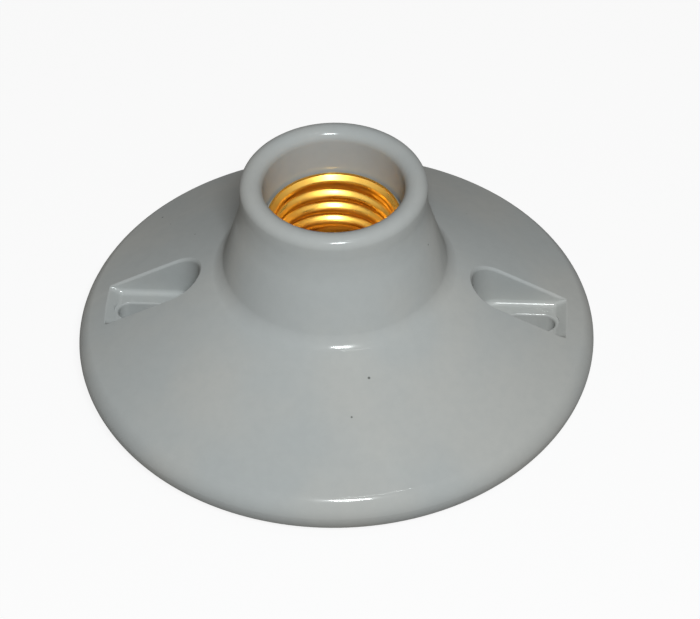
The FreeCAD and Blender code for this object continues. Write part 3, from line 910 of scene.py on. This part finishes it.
class LAMPHOLDER_OT_terminals(bpy.types.Operator):
    """Stamps the brass terminal plates and the lipped washers that clamp the wires"""

    bl_idname = "lampholder.terminals"
    bl_label = "Terminals"

    def execute(self, context):
        s = context.scene.holder_metal
        half, low = s.plate_width / 2 / MM, PLATE_Z - PLATE_T
        small_r, wire_r = s.small_screw / 2 / MM, s.wire_screw / 2 / MM
        edge_y = (SHELL_SCREW_Y - PLATE_EDGE, SHELL_SCREW_Y + PLATE_EDGE)
        wide = SHELL_SCREW_X + PLATE_EDGE
        brass = metal_material("terminal_brass_stamped", s.terminal_brass, 0.27, 0.35, (0.08, 1.0, 1.0), 0.2)
        plate = shape_with(box(-wide, wide, *edge_y, low, PLATE_Z, PLATE_CORNER), [
            box(-half, half, edge_y[0] + 1, PLATE_END_Y, low, PLATE_Z, PLATE_CORNER),
        ], "UNION")
        plate = shape_with(plate, [
            rod(small_r + PLATE_SCREW_GAP, SHELL_SCREW_X, SHELL_SCREW_Y, low - 1, PLATE_Z + 1),
            rod(small_r + PLATE_SCREW_GAP, -SHELL_SCREW_X, SHELL_SCREW_Y, low - 1, PLATE_Z + 1),
            rod(wire_r + PLATE_SCREW_GAP, 0, WIRE_SCREW_Y, low - 1, PLATE_Z + 1),
        ], "DIFFERENCE")
        finish_piece("shell_plate", plate, brass, ["shell_terminal"], edge=0.12)
        plate = shape_with(box(-half, half, -PLATE_END_Y, CONTACT_SCREW_Y + PLATE_EDGE, low, PLATE_Z, PLATE_CORNER), [
            rod(small_r + PLATE_SCREW_GAP, 0, CONTACT_SCREW_Y, low - 1, PLATE_Z + 1),
            rod(wire_r + PLATE_SCREW_GAP, 0, -WIRE_SCREW_Y, low - 1, PLATE_Z + 1),
        ], "DIFFERENCE")
        finish_piece("contact_plate", plate, brass, ["contact_terminal"], edge=0.12)

        steel = metal_material("plated_steel_washer", s.plated_steel, 0.30, 0.30, (1.0, 0.1, 1.0), 0.2)
        inside = half + WASHER_LIP_GAP
        outside, face = inside + WASHER_T, low - SEAT_GAP
        for side, body in ((1, "shell_clamp"), (-1, "contact_clamp")):
            y = side * WIRE_SCREW_Y
            near, far = y - WASHER_HALF_L, y + WASHER_HALF_L
            blank = box(-outside, outside, near, far, face - WASHER_T, face + WASHER_LIP_H, WASHER_CORNER)
            washer = shape_with(blank, [
                box(-inside, inside, near - 1, far + 1, face, low + 2),
                rod(wire_r + HOLE_GAP, 0, y, low - 2, low + 2),
            ], "DIFFERENCE")
            finish_piece(f"{body}_plate", washer, steel, [f"{body}_washer"], body, edge=0.15)
        return {"FINISHED"}


class LAMPHOLDER_OT_screws(bpy.types.Operator):
    """Turns the slotted screws with their cut threads"""

    bl_idname = "lampholder.screws"
    bl_label = "Screws"

    def execute(self, context):
        s = context.scene.holder_metal
        floor = context.scene.holder_porcelain.well_floor / MM
        flange, leaf_top = floor + s.sheet / MM, floor + ISLAND_H + s.leaf_thickness / MM
        steel = metal_material("plated_steel_screw", s.plated_steel, 0.24, 0.30, (1, 1, 1), 0.1)
        brass = metal_material("terminal_brass_screw", s.terminal_brass, 0.25, 0.30, (1, 1, 1), 0.1)
        small = (s.small_screw / 2 / MM, SMALL_HEAD_R, SMALL_HEAD_H, SMALL_PITCH)
        for name, long, place in (
            ("shell_screw_right", SHELL_SCREW_L, (SHELL_SCREW_X, SHELL_SCREW_Y, flange)),
            ("shell_screw_left", SHELL_SCREW_L, (-SHELL_SCREW_X, SHELL_SCREW_Y, flange)),
            ("contact_screw", CONTACT_SCREW_L, (0, CONTACT_SCREW_Y, leaf_top)),
        ):
            bm = self.slotted(*small, long)
            bmesh.ops.translate(bm, verts=bm.verts, vec=metres(*place))
            finish_piece(f"slotted_{name}", bm, steel, [name])
        wire = (s.wire_screw / 2 / MM, WIRE_HEAD_R, WIRE_HEAD_H, WIRE_PITCH)
        long = WIRE_SCREW_TIP + PLATE_Z - WIRE_SEAT_Z
        for name, y, body in (
            ("shell_wire_screw", WIRE_SCREW_Y, "shell_binding_screw"),
            ("contact_wire_screw", -WIRE_SCREW_Y, "contact_binding_screw"),
        ):
            bm = self.slotted(*wire, long)
            bmesh.ops.rotate(bm, verts=bm.verts, cent=(0, 0, 0), matrix=Matrix.Rotation(math.pi, 3, "X"))
            bmesh.ops.translate(bm, verts=bm.verts, vec=metres(0, y, WIRE_SEAT_Z))
            finish_piece(f"slotted_{name}", bm, brass, [name], body)
        return {"FINISHED"}

    def slotted(self, r, head_r, head_h, pitch, length):
        """Pan head screw with its head's seat at z = 0 and its tip down."""
        depth = 0.3 * pitch + 0.05
        rows = math.ceil((length - SCREW_TIP_CHAMFER - SCREW_NECK) / pitch * 6)
        bm = bmesh.new()
        outline(bm, [
            (0, -length, 0),
            (r - SCREW_TIP_CHAMFER, -length, 0),
            (r, SCREW_TIP_CHAMFER - length, 0),
            (r, -SCREW_NECK, 0),
            (r, 0, 0),
            (head_r, 0, 0.15),
            (head_r, head_h, 0.55 * head_h),
            (0, head_h, 0),
        ], segments=5)
        shank = [e for e in bm.edges if e.calc_length() > (length - 1.2) * MM]
        bmesh.ops.subdivide_edges(bm, edges=shank, cuts=rows - 1)
        turn(bm, 30)
        for vert in bm.verts:
            co = vert.co / MM
            out = math.hypot(co.x, co.y)
            if out > r - 0.01 and SCREW_PLAIN - length < co.z < -SCREW_PLAIN:
                wave = (co.z / pitch - math.atan2(co.y, co.x) / TURN) % 1.0
                groove = depth * min(1.0, 1.15 * (1 - abs(2 * wave - 1)))
                vert.co.x *= (out - groove) / out
                vert.co.y *= (out - groove) / out
        drive_slot = box(-head_r - 1, head_r + 1, -DRIVE_SLOT_W / 2, DRIVE_SLOT_W / 2, head_h / 2, head_h + 1)
        return shape_with(bm, [drive_slot], "DIFFERENCE")


class LAMPHOLDER_OT_stage(bpy.types.Operator):
    """Sets the floor, the soft studio light and the camera"""

    bl_idname = "lampholder.stage"
    bl_label = "Studio"

    def execute(self, context):
        s = context.scene.holder_studio
        scene = context.scene
        bm = bmesh.new()
        bmesh.ops.create_grid(bm, x_segments=1, y_segments=1, size=FLOOR_SIZE)
        bmesh.ops.translate(bm, verts=bm.verts, vec=metres(0, 0, -FLOOR_DROP))
        floor = to_object("studio_floor", bm)
        mat, surface = shader("studio_floor", s.floor, 0.0, 0.9)
        surface.inputs["Specular IOR Level"].default_value = 0.1
        links = mat.node_tree.links
        white = add_node(mat, "ShaderNodeBsdfDiffuse", Color=(0.94, 0.94, 0.94, 1))
        glow = add_node(mat, "ShaderNodeEmission", Color=(1, 1, 1, 1), Strength=1.0)
        pale = self.either(mat, s.floor_glow, white, glow)
        cast = self.either(mat, s.floor_cast, surface, glow)
        shown = self.either(mat, seen_rays(mat), cast, pale)
        behind = add_node(mat, "ShaderNodeNewGeometry").outputs["Backfacing"]
        shown = self.either(mat, behind, shown, add_node(mat, "ShaderNodeBsdfTransparent"))
        links.new(shown.outputs[0], mat.node_tree.nodes["Material Output"].inputs["Surface"])
        floor.data.materials.append(mat)

        world = bpy.data.worlds.new("soft_studio")
        world.use_nodes = True
        scene.world = world
        links = world.node_tree.links
        sky = world.node_tree.nodes["Background"]
        seen = seen_rays(world)
        strength = add_node(world, "ShaderNodeMapRange", Value=seen, To_Min=s.sky, To_Max=1.0)
        links.new(mix(world, seen, s.sky_tint, (1, 1, 1)), sky.inputs["Color"])
        links.new(strength.outputs["Result"], sky.inputs["Strength"])

        self.lamp("key_light", s.key_turn, s.key_rise, KEY_SIZE, s.key_power)
        self.lamp("tube_light", s.key_turn + TUBE_TURN, s.key_rise + TUBE_RISE, TUBE_SIZE, s.tube_power)

        rise, turn_by = s.camera_rise, s.camera_turn
        spin = Matrix.Rotation(turn_by, 3, "Z")
        away = Vector((0, -math.cos(rise), math.sin(rise))) * s.camera_distance
        place = spin @ (away + metres(0, 0, CAMERA_PIVOT_Z))
        target = spin @ metres(*CAMERA_AIM)
        back = (place - target).normalized()
        right = UP.cross(back).normalized()
        upward = back.cross(right)
        roll = Matrix.Rotation(s.camera_roll, 3, back)
        right, upward = roll @ right, roll @ upward
        data = bpy.data.cameras.new("camera")
        data.lens = s.lens
        data.sensor_width = 36.0
        data.clip_start, data.clip_end = 0.05, 20.0
        camera = bpy.data.objects.new("camera", data)
        scene.collection.objects.link(camera)
        camera.matrix_world = Matrix((right, upward, back)).transposed().to_4x4()
        camera.location = place
        scene.camera = camera
        scene.view_settings.view_transform = "Standard"
        return {"FINISHED"}

    def either(self, mat, share, one, two):
        """Mixes two shaders by a number or a socket."""
        node = add_node(mat, "ShaderNodeMixShader", Fac=share)
        mat.node_tree.links.new(one.outputs[0], node.inputs[1])
        mat.node_tree.links.new(two.outputs[0], node.inputs[2])
        return node

    def lamp(self, name, turn_by, rise, size, power):
        """Area light aimed at the dome, from a turn round the axis and a rise above the floor."""
        data = bpy.data.lights.new(name, "AREA")
        data.shape = "RECTANGLE"
        data.size, data.size_y = size
        data.energy = power
        data.color = LAMP_COLOUR
        light = bpy.data.objects.new(name, data)
        bpy.context.scene.collection.objects.link(light)
        aim = metres(0, 0, LAMP_AIM_Z)
        flat = math.cos(rise)
        away = Vector((math.sin(turn_by) * flat, -math.cos(turn_by) * flat, math.sin(rise)))
        light.location = aim + away * LAMP_DISTANCE
        light.rotation_euler = away.to_track_quat("Z", "Y").to_euler()


class LAMPHOLDER_PT_panel(bpy.types.Panel):
    """Settings and steps of the lamp holder"""

    bl_idname = "LAMPHOLDER_PT_panel"
    bl_label = "Lamp Holder"
    bl_space_type = "VIEW_3D"
    bl_region_type = "UI"
    bl_category = "Lamp Holder"

    def draw(self, context):
        for group in (context.scene.holder_porcelain, context.scene.holder_metal, context.scene.holder_studio):
            column = self.layout.column(align=True)
            for name in group.__annotations__:
                column.prop(group, name)
        for operator in OPERATORS:
            self.layout.operator(operator.bl_idname)


OPERATORS = (
    LAMPHOLDER_OT_porcelain,
    LAMPHOLDER_OT_shell,
    LAMPHOLDER_OT_contact,
    LAMPHOLDER_OT_terminals,
    LAMPHOLDER_OT_screws,
    LAMPHOLDER_OT_stage,
)
CLASSES = (PorcelainSettings, MetalSettings, StudioSettings, *OPERATORS, LAMPHOLDER_PT_panel)


def register():
    for cls in CLASSES:
        bpy.utils.register_class(cls)
    bpy.types.Scene.holder_porcelain = PointerProperty(type=PorcelainSettings)
    bpy.types.Scene.holder_metal = PointerProperty(type=MetalSettings)
    bpy.types.Scene.holder_studio = PointerProperty(type=StudioSettings)


def unregister():
    del bpy.types.Scene.holder_studio
    del bpy.types.Scene.holder_metal
    del bpy.types.Scene.holder_porcelain
    for cls in reversed(CLASSES):
        bpy.utils.unregister_class(cls)


def main():
    register()
    bpy.ops.lampholder.porcelain()
    bpy.ops.lampholder.shell()
    bpy.ops.lampholder.contact()
    bpy.ops.lampholder.terminals()
    bpy.ops.lampholder.screws()
    bpy.ops.lampholder.stage()


if __name__ == "__main__":
    main()
